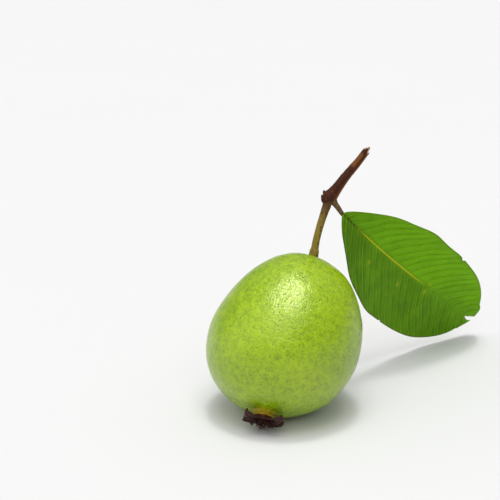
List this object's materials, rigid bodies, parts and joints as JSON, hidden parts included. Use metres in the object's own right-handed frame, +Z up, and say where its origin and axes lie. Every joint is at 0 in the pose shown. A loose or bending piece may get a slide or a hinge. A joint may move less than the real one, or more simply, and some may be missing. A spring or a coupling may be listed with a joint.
{
  "type": "guava",
  "caption": "A whole guava as picked: a slightly long green fruit with a dried crown, on its stalk with a short piece of twig and a leaf.",
  "frame": {"origin": "on the floor, in the small flat spot the fruit rests on, straight under the fruit's middle", "axes": "+Z up; +X to the side on which the leaf hangs; +Y to the back, so the fruit's crown leans to the front (-Y) and its stalk to the back"},
  "size_m": [0.1266, 0.1108, 0.1071],
  "materials": {
    "skin": "satin, finely pitted yellow-green fruit skin",
    "dried_crown": "dull, dry, dark brown sepals",
    "green_stalk": "matte olive green-brown",
    "twig_bark": "matte dark red-brown bark",
    "leaf_blade": "satin green leaf, veined"
  },
  "bodies": {
    "root": {"fruit": "skin", "calyx": "dried_crown", "fruit_stalk": "green_stalk", "twig": "twig_bark", "leaf": "leaf_blade"}
  },
  "joints": []
}
